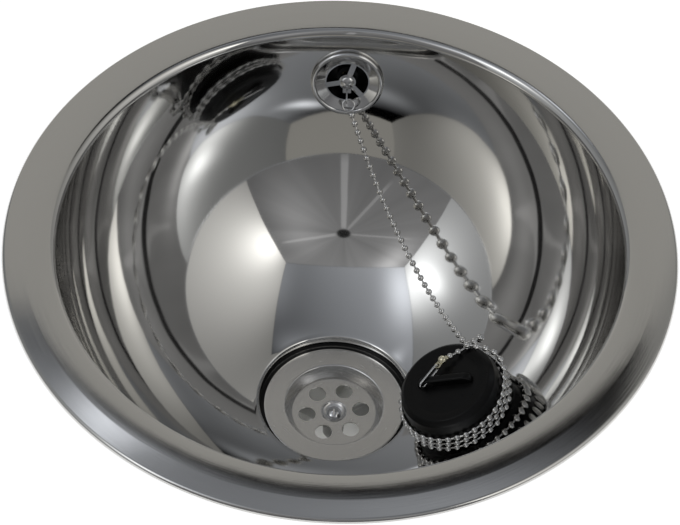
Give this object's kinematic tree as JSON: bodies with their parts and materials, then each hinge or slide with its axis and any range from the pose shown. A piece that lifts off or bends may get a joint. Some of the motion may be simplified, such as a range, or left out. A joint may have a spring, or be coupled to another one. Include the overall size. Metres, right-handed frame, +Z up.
{
  "type": "inset washbasin",
  "caption": "Round inset washbasin of pressed stainless steel with strainer waste, overflow, worktop clips, and a rubber plug on a ball chain.",
  "frame": {"origin": "centre of the rim, in the plane of the worktop's top face on which the rim lies", "axes": "+Z up, +Y to the back where the overflow is, +X to the user's right"},
  "size_m": [0.38, 0.3798, 0.23],
  "materials": {
    "steel_sheet": "satin rim, mirror-polished bowl",
    "polished_steel": "soft polish",
    "chrome": "bright plating",
    "zinc_steel": "bright zinc plating",
    "brass": "plain turned brass",
    "black_rubber": "moulded, slightly glossy",
    "grey_foam": "closed-cell foam",
    "white_plastic": "moulded, satin",
    "grey_hose": "blown, satin"
  },
  "bodies": {
    "washbasin": {"basin": "steel_sheet", "rim_seal": "grey_foam", "fixing_lugs": "zinc_steel", "fixing_bolts": "zinc_steel", "overflow_rosette": "chrome", "overflow_screw": "chrome", "chain_eye": "chrome", "overflow_washer": "black_rubber", "overflow_elbow": "white_plastic", "overflow_insert": "brass", "overflow_hose": "grey_hose", "strainer": "polished_steel", "strainer_screw": "chrome", "flange_seal": "black_rubber", "body_seal": "black_rubber", "waste_body": "white_plastic", "waste_insert": "brass"},
    "plug_and_chain": {"plug": "black_rubber", "plug_link": "chrome", "end_coupling": "brass", "chain_wound": "chrome", "chain_free": "chrome", "eye_ring": "chrome"},
    "nut_1": {"wing_nut_1": "zinc_steel"},
    "clip_1": {"fixing_clip_1": "zinc_steel"},
    "nut_2": {"wing_nut_2": "zinc_steel"},
    "clip_2": {"fixing_clip_2": "zinc_steel"},
    "nut_3": {"wing_nut_3": "zinc_steel"},
    "clip_3": {"fixing_clip_3": "zinc_steel"},
    "nut_4": {"wing_nut_4": "zinc_steel"},
    "clip_4": {"fixing_clip_4": "zinc_steel"}
  },
  "joints": [
    {"name": "plug_swing", "type": "hinge", "parent": "washbasin", "child": "plug_and_chain", "pos_m": [0, 0.14666, -0.04065], "axis": [-1, 0, 0], "range_deg": [0, 75]},
    {"name": "nut_1_travel", "type": "slide", "parent": "washbasin", "child": "nut_1", "axis": [0, 0, 1], "range_m": [-0.014, 0.004]},
    {"name": "clip_1_turn", "type": "hinge", "parent": "nut_1", "child": "clip_1", "pos_m": [0.1188, 0.1188, -0.035], "axis": [0, 0, 1], "range_deg": [0, 90]},
    {"name": "nut_2_travel", "type": "slide", "parent": "washbasin", "child": "nut_2", "axis": [0, 0, 1], "range_m": [-0.014, 0.004]},
    {"name": "clip_2_turn", "type": "hinge", "parent": "nut_2", "child": "clip_2", "pos_m": [-0.1188, 0.1188, -0.035], "axis": [0, 0, 1], "range_deg": [0, 90]},
    {"name": "nut_3_travel", "type": "slide", "parent": "washbasin", "child": "nut_3", "axis": [0, 0, 1], "range_m": [-0.014, 0.004]},
    {"name": "clip_3_turn", "type": "hinge", "parent": "nut_3", "child": "clip_3", "pos_m": [-0.1188, -0.1188, -0.035], "axis": [0, 0, 1], "range_deg": [0, 90]},
    {"name": "nut_4_travel", "type": "slide", "parent": "washbasin", "child": "nut_4", "axis": [0, 0, 1], "range_m": [-0.014, 0.004]},
    {"name": "clip_4_turn", "type": "hinge", "parent": "nut_4", "child": "clip_4", "pos_m": [0.1188, -0.1188, -0.035], "axis": [0, 0, 1], "range_deg": [0, 90]}
  ]
}
